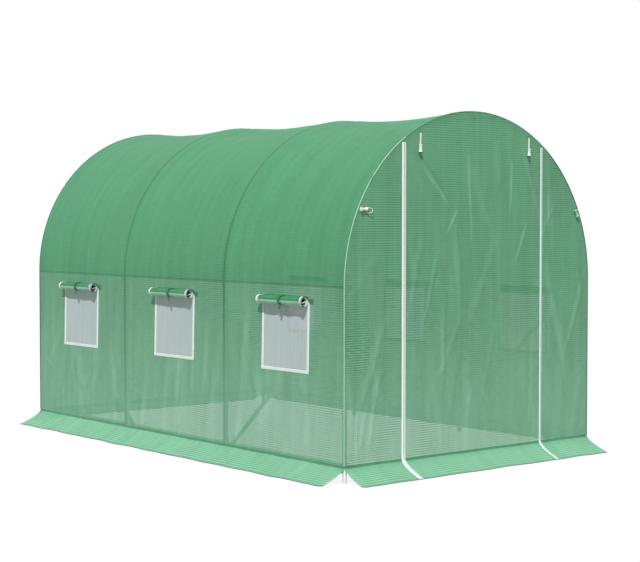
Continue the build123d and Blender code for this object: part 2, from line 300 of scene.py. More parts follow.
# Laminated film over a dark green grid: half matt, lets the day through, shows shapes behind it.
end_cloth = woven_polyethylene("woven_polyethylene_end_sheet", "#94d6ad", "#458260", "#8fd0a8", 0.38, 0.0)
# The same cloth pulled along the walls, and tighter over the roof: the threads part less, so a fainter grid.
wall_cloth = woven_polyethylene("woven_polyethylene_wall", "#93d1ab", "#4e8868", "#8fd0a8", 0.37, 0.0)
roof_cloth = woven_polyethylene("woven_polyethylene_roof", "#69b387", "#4d936c", "#7cc89b", 0.18, 0.1)
# Painted shade: where the cloth lies on a tube, and on the dark patch beside each roll, these darker colours
# stand in for the shade there.
painted_shade_cloth = woven_polyethylene("polyethylene_painted_shade", "#5b9b75", "#3f7755", "#6fb58c", 0.06, 0.0, 0.05)
# The skirt lies on a white floor: painted paler, as painted light from the floor shining through it, and
# hardly clear.
skirt_cloth = woven_polyethylene("woven_polyethylene_skirt", "#9adab6", "#549570", "#9ad8b2", 0.07, 0.02)
# A turned hem, and a seam of two layers: each a step darker than the skirt, as painted shade, since two
# layers let less light through.
hem_cloth = woven_polyethylene("folded_polyethylene_hem", "#5f9f7b", "#44785a", "#6fb58c", 0.03, 0.0)
seam_cloth = woven_polyethylene("felled_polyethylene_seam", "#68a381", "#4b7f61", "#6fb58c", 0.0, 0.0)
print(f"weave drawn every {ROW_PITCH / MM:.1f} mm")

# %% [markdown]
# ## Meshes from grids
# Cloth, straps, cords and turned toggles are all grids of points bent into shape: rows one way, columns the
# other, a quad between neighbours. One function turns any number of grids into one mesh, with the flat
# cloth's own measure in metres as its UVs, so that a weave keeps its scale however the sheet is bent.

# %% Grid helpers
WELD_DISTANCE = 0.01 * MM
SHARP_ANGLE = 50                             # degrees, from which an edge isn't smoothed


def stations(breaks, step):
    """Places through all the breaks, evenly spread between them and no more than a step apart."""
    places = [breaks[0]]
    for start, stop in zip(breaks, breaks[1:]):
        count = max(1, math.ceil((stop - start) / step))
        places += [start + (stop - start) * (i + 1) / count for i in range(count)]
    return np.array(places)


def quads_of(grid, kept=None):
    """Corner numbers of the quads of a grid, row by row."""
    number = np.arange(grid.shape[0] * grid.shape[1]).reshape(grid.shape[:2])
    quads = np.stack([number[:-1, :-1], number[:-1, 1:], number[1:, 1:], number[1:, :-1]], axis=-1)
    return quads.reshape(-1, 4) if kept is None else quads[kept]


def smooth(value, low, high):
    """0 up to low, 1 from high, and a soft step between."""
    share = np.clip((value - low) / (high - low), 0, 1)
    return share * share * (3 - 2 * share)


print("helpers for grids")

# %% Pieces from grids


def make_piece(name, grids, finishes, replaced=()):
    """One mesh from grids. A grid is its points, its flat places in metres, its finish and the quads kept."""
    points, flats, quads, finish_numbers, start = [], [], [], [], 0
    for grid, flat, finish, kept in grids:
        points.append(grid.reshape(-1, 3))
        flats.append(flat.reshape(-1, 2))
        quads.append(quads_of(grid, kept) + start)
        numbers = np.broadcast_to(finish, grid[1:, 1:, 0].shape)
        finish_numbers.append(numbers.reshape(-1) if kept is None else numbers[kept])
        start += grid.shape[0] * grid.shape[1]
    quads = np.concatenate(quads)
    mesh = bpy.data.meshes.new(name)
    mesh.from_pydata(np.concatenate(points).tolist(), [], quads.tolist())
    mesh.uv_layers.new(name="cloth").data.foreach_set("uv", np.concatenate(flats)[quads.ravel()].ravel())
    mesh.polygons.foreach_set("material_index", np.concatenate(finish_numbers).astype(int))
    for finish in finishes:
        mesh.materials.append(finish)
    welded = bmesh.new()
    welded.from_mesh(mesh)
    bmesh.ops.remove_doubles(welded, verts=welded.verts, dist=WELD_DISTANCE)
    bmesh.ops.delete(welded, geom=[v for v in welded.verts if not v.link_faces], context="VERTS")
    welded.to_mesh(mesh)
    welded.free()
    mesh.polygons.foreach_set("use_smooth", [True] * len(mesh.polygons))
    mesh.set_sharp_from_angle(angle=math.radians(SHARP_ANGLE))
    piece = bpy.data.objects.new(name, mesh)
    scene.collection.objects.link(piece)
    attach(piece, "root")
    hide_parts(*replaced)
    return piece


print("grids become pieces that ride on the body root")

# %% [markdown]
# ## Strips and cords
# Tapes, straps, stitches, zip teeth, hems and piping are each a small section carried along a path.
# Blender's curves with a bevel give that too, but a grid of our own also knows the way along the tape and
# round it, which the ribs of a woven tape need as their UVs. Both ends are closed.

# %% Sections along a path
STEEP = 0.8                                  # a path that rises more than this takes Y as its way up


def way_along(path):
    """Way travelled along a path at each of its points."""
    return np.concatenate([[0], np.cumsum(np.linalg.norm(np.diff(path, axis=0), axis=1))])


def ahead_along(path):
    """Direction of a path at each of its points."""
    ahead = np.gradient(path, axis=0)
    return ahead / np.linalg.norm(ahead, axis=1, keepdims=True)


def point_at(place, way, values):
    """What a run of points or directions gives at a place along its way."""
    return np.array([np.interp(place, way, column) for column in values.T])


def swept_strip(path, across, outward, section):
    """Points and flat places of a closed strip: a section, in ways across and outward, along a path."""
    path = np.asarray(path, float)
    across, outward = (np.broadcast_to(np.asarray(v, float), path.shape)[:, None] for v in (across, outward))
    loop = np.concatenate([section, section[:1]])
    rings = path[:, None] + loop[:, :1] * across + loop[:, 1:] * outward
    middles = np.repeat(rings[:, :-1].mean(axis=1, keepdims=True), len(loop), axis=1)
    way = way_along(path)
    way = np.concatenate([way[:1], way, way[-1:]])
    flat = np.stack(np.broadcast_arrays(way[:, None], way_along(loop)), axis=-1)
    return np.concatenate([middles[:1], rings, middles[-1:]]), flat


def tube_grid(path, radius, sides):
    """Points and flat places of a round cord along a path."""
    path = np.asarray(path, float)
    ahead = ahead_along(path)
    up = np.where(np.abs(ahead[:, 2:]) > STEEP, (0.0, 1.0, 0.0), (0.0, 0.0, 1.0))
    side = np.cross(ahead, up)
    side /= np.linalg.norm(side, axis=1, keepdims=True)
    turn = np.arange(sides) * math.tau / sides
    section = radius * np.stack([np.cos(turn), np.sin(turn)], axis=-1)
    return swept_strip(path, side, np.cross(side, ahead), section)


def puffed(width, thickness):
    """Section of a soft flat tape: rounded over the top, flat beneath."""
    half = width / 2
    return [(-half, 0), (half, 0), (0.92 * half, 0.7 * thickness), (0.45 * half, thickness),
            (-0.45 * half, thickness), (-0.92 * half, 0.7 * thickness)]


print("helpers for strips and cords")

# %% [markdown]
# ## Folds
# A big plastic sheet is never flat: packing creases and the pull of the hoops leave long shallow folds in
# it. A simulation would find its own folds, but not where the picture has them, so each fold is a soft
# ridge along a line that fades out at both ends. A seeded Random scatters them the same way every run.

# %% Fold helpers
CREASE_WIDTH, CREASE_HEIGHT = 7 * MM, 3.5 * MM
SOFT_FOLD_HEIGHT = 6 * MM
FOLD_SWAY, FOLD_SWAY_TURN = 0.25, 9          # how far a fold winds, in its widths, and radians in its length
CREASE_WHITE, FOLD_WHITE, MOST_WHITE = 0.55, 0.13, 0.8
PAINTED_BOUNCE_SHARE, PAINTED_BOUNCE_HEIGHTS = 0.22, (0.25, 1.0)  # painted light from the floor: how much paler the film is low down, and where that thins out


def scatter_folds(seed, low, high, count, lean, lengths, widths, heights):
    """Folds in a flat rectangle: middle, angle from upright, length, width and height of each."""
    draw = Random(seed)
    return [(draw.uniform(low[0], high[0]), draw.uniform(low[1], high[1]), math.radians(draw.gauss(0, lean)),
             draw.uniform(*lengths), draw.uniform(*widths), draw.uniform(*heights)) for _ in range(count)]


def fold_lift(across, up, folds):
    """Height of the folds over a sheet, at places given by the way across it and up it."""
    lift = np.zeros(np.broadcast(across, up).shape)
    for middle_across, middle_up, angle, length, width, height in folds:
        a, u = across - middle_across, up - middle_up
        along = a * math.sin(angle) + u * math.cos(angle)
        sway = FOLD_SWAY * width * np.sin(FOLD_SWAY_TURN * along / length)
        aside = a * math.cos(angle) - u * math.sin(angle) + sway
        fade = np.clip(1 - (2 * along / length) ** 2, 0, 1)
        lift = lift + height * np.exp(-(aside / width) ** 2) * fade
    return lift


def whiten(piece, axis, creases, folds):
    """Store at each point of a sheet how white its film is: worn white on creases, less on folds, and paler
    near the ground as painted light from the floor.
    """
    points = np.array([vertex.co for vertex in piece.data.vertices])
    sharp, soft = (fold_lift(points[:, axis], points[:, 2], lines) for lines in (creases, folds))
    painted_bounce = PAINTED_BOUNCE_SHARE * (1 - smooth(points[:, 2], *PAINTED_BOUNCE_HEIGHTS))
    worn = CREASE_WHITE * sharp / CREASE_HEIGHT + FOLD_WHITE * soft / SOFT_FOLD_HEIGHT
    share = np.clip(worn + painted_bounce, 0, MOST_WHITE)
    piece.data.attributes.new("wear_and_painted_bounce", "FLOAT", "POINT").data.foreach_set("value", share)


print("folds are soft ridges, a few millimetres high")

# %% [markdown]
# ## The cover
# Roof and long walls are one sheet: up the left wall, over the hoops and down the right wall. It is drawn
# as one grid, with the length of the building one way and the girth the other. Between hoops it sinks until
# it rests on the rails, which gives the roof its scalloped line, and the six windows are quads that are
# left out.

# %% Shape of the cover
girth = 2 * wall_height + math.pi * half_width


def dip_share(y):
    """0 over the hoops and 1 midway between them."""
    share = np.clip((y - hoop_places[0]) / bay_length, 0, len(bay_middles)) % 1
    return 4 * share * (1 - share)


def wall_out(y, z):
    """How far a long wall's outside stands from the middle of the building."""
    return half_width - dip * dip_share(y) * (z - skirt_top) / wall_height


def wall_place(sign, y, z, lift):
    """Points on the outside of a long wall, lifted off it."""
    y, z = np.broadcast_arrays(np.asarray(y, float), np.asarray(z, float))
    return np.stack([sign * (wall_out(y, z) + lift), y, z], axis=-1)


def cover_point(y, around, lift):
    """Points of the cover: y along the building, around from the left foot over the top to the right foot."""
    to_foot = np.minimum(around, girth - around)
    angle = np.clip((around - wall_height) / half_width, 0, math.pi)
    radius = half_width - SKIN - dip * dip_share(y) * np.clip(to_foot / wall_height, 0, 1) + lift
    height = spring_height + np.sin(angle) * radius + np.minimum(to_foot - wall_height, 0)
    return np.stack(np.broadcast_arrays(-np.cos(angle) * radius, y, height), axis=-1)


print(f"cover {girth:.2f} m from foot to foot")

# %% Grid of the cover
CLOTH_STEP = 14 * MM
HOOP_LINE, PURLIN_LINE = 21 * MM, 9 * MM     # widths of the painted shade lines where the cloth touches a tube
hole_half_width = (WINDOW_WIDTH - TRIM_WIDTH) / 2
hole_low, hole_high = window_low.z + TRIM_WIDTH / 2, window_high.z - TRIM_WIDTH / 2

window_edges = [m + s * hole_half_width for m in window_middles for s in (-1, 1)]
hoop_edges = [place + s * HOOP_LINE / 2 for place in hoop_places[1:-1] for s in (-1, 1)]
cover_ends = [-half_length + SKIN, half_length - SKIN]
along = stations(sorted(cover_ends + hoop_places + hoop_edges + window_edges), CLOTH_STEP)
wall_breaks = [0, hole_low - skirt_top, hole_high - skirt_top, wall_height - PURLIN_LINE / 2,
               wall_height + PURLIN_LINE / 2]
around = stations(wall_breaks + [girth / 2] + [girth - b for b in reversed(wall_breaks)], CLOTH_STEP)
flat_y, flat_s = np.meshgrid(along, around)
cover_flat = np.stack([flat_y, flat_s], axis=-1)
to_foot = np.minimum(flat_s, girth - flat_s)
print(f"{len(around)} rows of {len(along)} points")

# %% Folds of the cover
HOOP_GRIP, FOOT_GRIP = 120 * MM, 80 * MM     # how near a hoop or the foot the folds fade out
SEAM_GRIP = (20 * MM, 100 * MM)              # how near a window or a zip they end, and start to fade
FOLD_REACH = 500 * MM                        # folds have their middles this near the middle of a bay
WALL_FOLDS = dict(count=16, lean=14, lengths=(0.3, 0.8), widths=(14 * MM, 36 * MM),
                  heights=(2.5 * MM, 7 * MM))
ROOF_FOLDS = dict(count=12, lean=22, lengths=(0.4, 1.1), widths=(20 * MM, 50 * MM),
                  heights=(1 * MM, 3.5 * MM))

to_hoop = np.min([np.abs(flat_y - place) for place in hoop_places], axis=0)
beside_window = np.min([np.abs(flat_y - m) for m in window_middles], axis=0) - WINDOW_WIDTH / 2
over_window = np.abs(to_foot + skirt_top - (window_low.z + window_high.z) / 2)
over_window -= (window_high.z - window_low.z) / 2
to_window = np.hypot(np.maximum(beside_window, 0), np.maximum(over_window, 0))
free = smooth(to_hoop, 0, HOOP_GRIP) * smooth(to_window, *SEAM_GRIP) * smooth(to_foot, 0, FOOT_GRIP)
cover_folds = []
for number, middle in enumerate(bay_middles):
    near, far = middle - FOLD_REACH, middle + FOLD_REACH
    for side, foot in enumerate((0, girth - wall_height)):
        seed, head = 10 * number + side, foot + wall_height
        cover_folds += scatter_folds(seed, (near, foot), (far, head), **WALL_FOLDS)
    cover_folds += scatter_folds(50 + number, (near, wall_height), (far, girth - wall_height), **ROOF_FOLDS)
cover_points = cover_point(flat_y, flat_s, free * fold_lift(flat_y, flat_s, cover_folds))
print(f"{len(cover_folds)} folds in the cover")

# %% Roof and long walls
quad_y = (flat_y[1:, 1:] + flat_y[:-1, :-1]) / 2
quad_up = (to_foot[1:, 1:] + to_foot[:-1, :-1]) / 2
at_window_height = (quad_up > hole_low - skirt_top) & (quad_up < hole_high - skirt_top)
kept = np.ones(quad_y.shape, bool)
for middle in window_middles:
    kept &= ~((np.abs(quad_y - middle) < hole_half_width) & at_window_height)
# Painted shade along the purlins and the middle hoops, where the cloth lies on the tubes.
painted_tube_shade = np.abs(quad_up - wall_height) < PURLIN_LINE / 2
for place in hoop_places[1:-1]:
    painted_tube_shade |= np.abs(quad_y - place) < HOOP_LINE / 2
finish = np.where(painted_tube_shade, 2, np.where(quad_up > wall_height, 1, 0))
cover = make_piece("cover_sheet", [(cover_points, cover_flat, finish, kept)],
                   [wall_cloth, roof_cloth, painted_shade_cloth],
                   ["roof_bay_1", "roof_bay_2", "roof_bay_3", "left_wall", "right_wall"])
whiten(cover, Y, [], [fold for fold in cover_folds if fold[1] < wall_height])
print(f"cover of {len(cover.data.polygons)} faces")

# %% [markdown]
# ## End sheets
# The rear end is one flat sheet under the arch. The front end is parted by the two zips into a door and two
# side panels. Columns are spaced by the angle round the arch, which makes them narrow at the sides, where
# the arch is steep, and keeps its edge round. The sharpest creases of the front are laid one by one, the
# rest are scattered.

# %% Front panels, door and rear sheet
END_STEP = 9 * MM
EDGE_GRIP = 100 * MM                         # how near the arch or the foot the folds of an end fade out
END_FOLDS = dict(lean=16, lengths=(0.3, 0.9), widths=(12 * MM, 36 * MM), heights=(2 * MM, 6 * MM))
END_FOLD_RISE = 700 * MM                     # folds have their middles up to here over the spring line


def crease(x_from, z_from, x_to, z_to):
    """A sharp packing crease between two places on an end, given in millimetres, as a fold."""
    across, up = x_to - x_from, z_to - z_from
    return ((x_from + x_to) / 2 * MM, (z_from + z_to) / 2 * MM, math.atan2(across, up),
            math.hypot(across, up) * MM, CREASE_WIDTH, CREASE_HEIGHT)


def end_sheet(node, x_from, x_to, front, folds):
    """Sheet of an end wall between two upright edges, from the skirt to the arch, and its flat places."""
    radius = half_width - SKIN
    turns = [math.acos(max(-1.0, min(1.0, -x / radius))) for x in (x_from, x_to)]
    x = -np.cos(stations(turns, END_STEP / radius)) * radius
    top = spring_height + np.sqrt(np.maximum(radius**2 - x**2, 0))
    rows = np.linspace(0, 1, math.ceil((top.max() - skirt_top) / END_STEP) + 1)[:, None]
    z = skirt_top + rows * (top - skirt_top)
    x = np.broadcast_to(x, z.shape)
    to_arch = np.where(z > spring_height, radius - np.hypot(x, z - spring_height), radius - np.abs(x))
    free = smooth(to_arch, 0, EDGE_GRIP) * smooth(z - skirt_top, 0, EDGE_GRIP)
    if front:
        free = free * smooth(np.abs(np.abs(x) - zip_place), *SEAM_GRIP)
    out = half_length - SKIN + free * fold_lift(x, z, folds)
    points = np.stack([x, -out if front else out, z], axis=-1)
    flat = np.stack([x, z], axis=-1)
    piece = make_piece(f"{node}_sheet", [(points, flat, 0, None)], [end_cloth], [node])
    return piece, flat


creases = {"door_panel": [crease(-56, 1900, -19, 1277), crease(-437, 1775, -191, 1516),
                          crease(-231, 1360, -135, 1516), crease(314, 1828, 299, 1458),
                          crease(344, 1188, 447, 1446)],
           "front_right_panel": [crease(632, 1629, 634, 1385)]}
end_sheets = {}
for node, x_from, x_to, front, seed, count in (
        ("front_left_panel", -half_width, -zip_place, True, 71, 12),
        ("door_panel", -zip_place, zip_place, True, 72, 26),
        ("front_right_panel", zip_place, half_width, True, 73, 12),
        ("rear_panel", -half_width, half_width, False, 74, 40)):
    highest = spring_height + END_FOLD_RISE
    folds = scatter_folds(seed, (x_from, skirt_top), (x_to, highest), count=count, **END_FOLDS)
    lines = creases.get(node, [])
    end_sheets[node] = end_sheet(node, x_from, x_to, front, folds + lines)
    whiten(end_sheets[node][0], X, lines, folds)
print("end sheets:", ", ".join(end_sheets))

# %% [markdown]
# ## Skirts
# Below the base rails the cover runs out over the ground, where soil or stones hold it down. A felled seam
# joins the skirt to the wall. From there it leaves the wall in a soft bend, lies nearly flat and lifts a
# little between the places where it touches, and its edge is turned over to a thin hem. The skirts of two
# walls aren't joined: the front corners are cut back, so that a notch stays open between them, and two
# other corners are drawn out.

# %% Shape of a skirt
SKIRT_STEP, SKIRT_CORNER = 16 * MM, 80 * MM
SKIRT_KNEE = 62 * MM                         # height of the point that the bend is drawn towards
SEAM_SHARE = 0.18                            # how far down the felled seam to the wall reaches
HEM_HEIGHT, HEM_RISE = 2.5 * MM, 0.3 * MM    # of the skirt's edge, and of the hem's middle over it
HEM_RADIUS, HEM_SIDES = 2.2 * MM, 6
TIP_RUN, SLANT_RUN = 250 * MM, 300 * MM      # how far along a drawn-out or cut-back corner pulls the cloth
STILL_ENDS = (20 * MM, 140 * MM)             # how near its ends a skirt lies still, and waves in full
WAVE_RATES, WAVE_SHARE = (7, 16), 0.03       # radians a metre, and how far the waves change the reach
RIPPLE_LIFT, RIPPLE_PACE = 2 * MM, 1.7       # how high the cloth lifts off, and how fast beside a wave
RIPPLE_REACH = 0.8                           # share of half a turn that the lift rises and falls over


def skirt_section(share):
    """Way out from the wall and height of a skirt, from its top, 0, to its hem, 1."""
    out = share**2 * skirt_reach
    height = (1 - share)**2 * skirt_top + 2 * share * (1 - share) * SKIRT_KNEE + share**2 * HEM_HEIGHT
    return out, height


def beside_wall(axis, sign, along, out, z):
    """Points at a way out from a wall: a long wall, which faces along X, or an end, which faces along Y."""
    away = sign * ((half_width, half_length)[axis] - SKIN + out)
    return np.stack(np.broadcast_arrays(*((away, along, z) if axis == X else (along, away, z))), axis=-1)


def skirt_piece(node, axis, sign, start, stop, seed, corners, slant, tip):
    """Skirt between two places along a wall, its first corner cut back by a slant, its last drawn out."""
    draw = Random(seed)
    waves = [(draw.uniform(*WAVE_RATES), draw.uniform(0, math.tau)) for _ in range(3)]
    t = stations([start, start + SKIRT_CORNER, stop - SKIRT_CORNER, stop], SKIRT_STEP)
    share = np.concatenate([np.linspace(0, SEAM_SHARE, 3)[:-1], np.linspace(SEAM_SHARE, 1, 11)])[:, None]
    out, height = skirt_section(share)
    free = smooth(np.minimum(t - start, stop - t), *STILL_ENDS)
    wave = sum(np.sin(rate * t + phase) for rate, phase in waves) / len(waves)
    cut = np.zeros_like(t)
    for end, radius in zip((start, stop), corners):
        left = np.clip(radius - np.abs(t - end), 0, radius)
        cut = cut + radius - np.sqrt(radius**2 - left**2)
    reach = 1 - cut / skirt_reach + WAVE_SHARE * free * wave
    ripple = 1 + np.sin(RIPPLE_PACE * waves[0][0] * t + waves[1][1])
    lift = RIPPLE_LIFT * ripple * free * np.sin(math.pi * RIPPLE_REACH * share)
    pull = tip * smooth(t, stop - TIP_RUN, stop) + slant * (1 - smooth(t, start, start + SLANT_RUN))
    points = beside_wall(axis, sign, t + pull * share**2, out * reach, height + lift)
    drop = np.hypot(np.diff(out, axis=0), np.diff(height, axis=0)).sum()
    flat = np.stack(np.broadcast_arrays(t, share * drop), axis=-1)
    hem = tube_grid(points[-1] + (0, 0, HEM_RISE), HEM_RADIUS, HEM_SIDES)
    # The seam band at the top of the skirt is painted darker, as painted shade at the foot of the wall.
    finish = np.where(share[1:] <= SEAM_SHARE, 2, 0)
    piece = make_piece(f"{node}_sheet", [(points, flat, finish, None), hem + (1, None)],
                       [skirt_cloth, hem_cloth, seam_cloth], [node])
    return piece, flat


print(f"skirts reach {skirt_reach / MM:.0f} mm")

# %% Skirts with turned hems
TIGHT_CORNER, WIDE_CORNER = 15 * MM, 25 * MM  # radii of the corners of the hem
SIDE_CORNERS = (WIDE_CORNER, TIGHT_CORNER)
SKIRT_TIP = 28 * MM                           # how far two corners of the hem are drawn out
SIDE_SLANT, FRONT_SLANT = 25 * MM, 10 * MM    # how far the front corners are cut back at the hem

for node, axis, sign, start, stop, seed, corners, slant, tip in (
        ("left_skirt", X, -1, -half_length, half_length, 81, SIDE_CORNERS, SIDE_SLANT, SKIRT_TIP),
        ("right_skirt", X, 1, -half_length, half_length, 82, SIDE_CORNERS, SIDE_SLANT, 0),
        ("rear_skirt", Y, 1, -half_width, half_width, 83, (TIGHT_CORNER, TIGHT_CORNER), 0, 0),
        ("front_left_skirt", Y, -1, -half_width, -zip_place, 84, (WIDE_CORNER, 0), FRONT_SLANT, 0),
        ("door_skirt", Y, -1, -zip_place, zip_place, 85, (0, 0), 0, 0),
        ("front_right_skirt", Y, -1, zip_place, half_width, 86, (0, TIGHT_CORNER), 0, SKIRT_TIP)):
    skirt_piece(node, axis, sign, start, stop, seed, corners, slant, tip)

# %% [markdown]
# ## Windows
# Each bay has a window in both long walls: a square of white insect net, sewn in under a white tape. The
# net is far too fine to show thread by thread, so its material lets part of the view through and keeps the
# faint upright streaks of a stretched net. The tape is sewn down with a row of stitches along each edge.

# %% Net finish
NET_PITCH = 5 * MM                           # coarser than the real 1.2 mm, so that a grid shows near by
NET_STREAK = 14 * MM

# Knitted white polyester: matt, pale blue grey against the dark inside, partly see-through.
net_cloth, tree = empty_material("polyester_insect_net")
place = add_node(tree, "UVMap", uv_map="cloth")
knit = add_node(tree, "TexWave", {"Vector": place, "Scale": WAVE_PERIOD / NET_PITCH}).outputs["Fac"]
stretch = add_node(tree, "Mapping", {"Vector": place, "Scale": (1 / NET_STREAK, 1.2, 1)})
pull = add_node(tree, "TexNoise", {"Vector": stretch, "Scale": 1.0, "Detail": 2.0})
open_share = add_node(tree, "MapRange", {"Value": knit, "To Min": 0.42, "To Max": 0.26})
uneven = add_node(tree, "MapRange", {"Value": pull.outputs["Fac"], "From Min": 0.3, "From Max": 0.7,
                                     "To Min": 0.9, "To Max": 1.1})
clear = add_node(tree, "Math", {0: open_share, 1: uneven}, operation="MULTIPLY")
yarn = add_node(tree, "BsdfPrincipled", {"Base Color": linear("#d9e3e5"), "Roughness": 0.7})
lit = add_node(tree, "BsdfTranslucent", {"Color": linear("#dfe8ea")})
body = add_node(tree, "MixShader", {0: 0.15, 1: yarn, 2: lit})
gap = add_node(tree, "BsdfTransparent", {"Color": linear("#d5cfe0")})
net = add_node(tree, "MixShader", {0: clear, 1: body, 2: gap})
add_node(tree, "OutputMaterial", {"Surface": net})
print("net drawn every", NET_PITCH / MM, "mm")

# %% Tape finishes
TAPE_DIRT = 30 * MM                          # width of the clouds of dirt on a tape
RIB_HEIGHT = 0.4 * MM


def woven_tape(name, colour, shade, rib, roughness=0.65):
    """Narrow woven tape: fine ribs across it, darker in the grooves."""
    material, tree = empty_material(name)
    place = add_node(tree, "UVMap", uv_map="cloth")
    ribs = add_node(tree, "TexWave", {"Vector": place, "Scale": 1 / (rib * math.tau), "Distortion": 0.6,
                                      "Detail": 1.0}, bands_direction="X").outputs["Fac"]
    dirt = add_node(tree, "TexNoise", {"Vector": place, "Scale": 1 / TAPE_DIRT, "Detail": 3.0})
    tone = add_node(tree, "Math", {0: ribs, 1: dirt.outputs["Fac"]}, operation="MULTIPLY")
    mixed = add_node(tree, "Mix", {0: tone, MIX_A: linear(shade), MIX_B: linear(colour)}, data_type="RGBA")
    raised = add_node(tree, "Bump", {"Height": ribs, "Distance": RIB_HEIGHT})
    tape = add_node(tree, "BsdfPrincipled", {"Base Color": mixed.outputs[MIX_COLOUR], "Roughness": roughness,
                                             "Normal": raised})
    add_node(tree, "OutputMaterial", {"Surface": tape})
    return material


# Polyester binding tape: clean matt white with fine ribs.
binding = woven_tape("white_polyester_binding", "#f4f6f3", "#dfe6e1", 2.0 * MM)
# Polyester edging: the same tape in a pale mint, a little shinier. Up the sunny side of the front piping its
# paleness is painted light; along the underside of each roll it is the flap's hem, made pale as painted light
# from the floor.
painted_light_edging = woven_tape("mint_polyester_edging_painted_light", "#b2e0c3", "#94cbaa", 3 * MM, 0.5)
print("tapes:", binding.name, painted_light_edging.name)

# %% Shape of a net
NET_STEP = 16 * MM
NET_LAP = 5 * MM                             # how far a net reaches under its tape
NET_DEPTH, NET_SAG = 1.2 * MM, 3 * MM        # how far in from the wall it is sewn, and sinks in its middle
PLEAT_HEIGHT, PLEAT_RATE = 0.5 * MM, 95      # of the upright waves in it, the rate in radians a metre


def net_grid(sign, number, middle):
    """Points and flat places of a net."""
    reach = hole_half_width + NET_LAP
    y = stations([middle - reach, middle + reach], NET_STEP)
    z = stations([hole_low - NET_LAP, hole_high + NET_LAP], NET_STEP)[:, None]
    bow = np.cos(math.pi * (y - middle) / (2 * reach + NET_LAP))
    sag = NET_SAG * bow * np.sin(math.pi * (z - z[0]) / (z[-1] - z[0]))
    pleat = PLEAT_HEIGHT * np.sin(y * PLEAT_RATE + number) * bow
    return wall_place(sign, y, z, pleat - NET_DEPTH - sag), np.stack(np.broadcast_arrays(y, z), axis=-1)


print(f"nets {2 * (hole_half_width + NET_LAP):.3f} m wide")

# %% Nets and the white tapes round them
TRIM_STEP, TRIM_THICKNESS = 25 * MM, 2 * MM
TRIM_LAP = 0.4 * MM                          # how far the level tapes lie over the ends of the upright ones
STITCH_PITCH, STITCH_LENGTH, STITCH_WIDTH = 6 * MM, 4 * MM, 0.9 * MM
STITCH_OFFSET = 0.32 * TRIM_WIDTH            # of a row of stitches from the middle of its tape
STITCH_SECTION = [(-STITCH_WIDTH / 2, 0), (STITCH_WIDTH / 2, 0), (0, STITCH_WIDTH / 2)]


def trim_paths(sign, middle):
    """Path and way across of a window's four tapes: two uprights, then two level ones over their ends."""
    half, rim = WINDOW_WIDTH / 2, TRIM_WIDTH / 2
    heights = (window_low.z + rim, window_high.z - rim)
    upright, level = stations(heights, TRIM_STEP), stations([middle - half, middle + half], TRIM_STEP)
    uprights = [(wall_place(sign, y, upright, -SKIN), (0, 1, 0))
                for y in (middle - half + rim, middle + half - rim)]
    return uprights + [(wall_place(sign, level, z, TRIM_LAP - SKIN), (0, 0, 1)) for z in heights]


def stitches(path, across, outward, offset, lift):
    """A row of short thread lumps along a path."""
    way = way_along(path)
    aside = np.array(across) * offset + np.array(outward) * lift
    return [swept_strip([point_at(place, way, path) + aside for place in (start, start + STITCH_LENGTH)],
                        across, outward, STITCH_SECTION)
            for start in np.arange(STITCH_PITCH, way[-1] - STITCH_PITCH, STITCH_PITCH)]


nets, trims = {}, []
for side, sign, number, middle in windows:
    name, (points, flat) = f"{side}_net_{number}", net_grid(sign, number, middle)
    nets[name] = make_piece(name, [(points, flat, 0, None)], [net_cloth],
                            [f"{side}_window_nets"]), flat
    grids = []
    for path, across in trim_paths(sign, middle):
        outward = (sign, 0, 0)
        grids.append(swept_strip(path, across, outward, puffed(TRIM_WIDTH, TRIM_THICKNESS)))
        for edge in (-1, 1):
            grids += stitches(path, across, outward, edge * STITCH_OFFSET, TRIM_THICKNESS)
    trims.append(make_piece(f"{side}_window_trim_{number}", [g + (0, None) for g in grids], [binding],
                            [f"{side}_window_trims"]))
print(f"{len(nets)} nets, {len(trims)} sewn frames")

# %% [markdown]
# ## Rolled flaps
# Over each net hangs a flap of cover cloth, which is rolled up in the picture and tied in the middle with a
# strap. A roll is not a cylinder: its cloth winds inwards and its free end lies across the core, so it is
# drawn as a spiral sheet. White binding runs down the edges of the flap and shows as the pale rings at both
# ends of the roll, and a paler hem shows along its underside, painted pale as painted light from the floor.
# The strap pinches the middle a little, and a dark patch of painted shade sits on the wall beside the front
# end.

# %% Flap and strap finishes
# Several layers of the cover cloth: deeper green, no longer clear, a little shinier where it is pulled tight.
flap_cloth = woven_polyethylene("rolled_polyethylene_flap", "#47986b", "#377d55", "#7cc49a", 0.0, 0.0,
                                glow_share=0.05, roughness=0.3)
# Polypropylene webbing: dark green, coarse ribs, half matt.
webbing = woven_tape("green_polypropylene_webbing", "#397a56", "#265d42", 3 * MM, 0.5)
print("flap finishes:", flap_cloth.name, webbing.name)

# %% Shape of a roll
OVER_WALL = 1 * MM                           # how far a flap or strap lies over the wall where it is sewn on
ROLL_STEP, ROLL_TURNS, TURN_SPACING = 12 * MM, 3.25, 3 * MM
CORE_SHARES = ((1, 0), (1, -0.75), (0.2, -0.35), (-0.8, 0.05))  # where the free end bends across the core
BINDING_WIDTH = 17 * MM
PINCH, PINCH_WIDTH = 0.07, 30 * MM           # how much, and how far along, the strap pulls a roll in
UNEVEN, UNEVEN_RATE = 0.02, 40               # how much thinner it is in places, the rate in radians a metre
FLARE = 0.18                                 # how much the front end of a roll has opened
TELESCOPE = 0.72 * MM                        # how far each turn has slid out past the one around it
HEM_TURNS = (0.26, 0.46)                     # where the flap's hem shows, painted pale as painted light, in turns from the top
# The dark patch of painted shade on the wall beside the front end of each roll:
SHADE_PATCH_LENGTH, SHADE_PATCH_HEIGHT = 42 * MM, 30 * MM
SHADE_PATCH_LAP = 8.4 * MM                           # how far the patch of painted shade reaches in behind the roll
roll_low, roll_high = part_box("left_flap_rolls")
roll_radius = (roll_high.z - roll_low.z) / 2
roll_height = (roll_high.z + roll_low.z) / 2
roll_out = -roll_low.x - roll_radius
roll_length = roll_high.y - roll_low.y - 2 * window_pitch


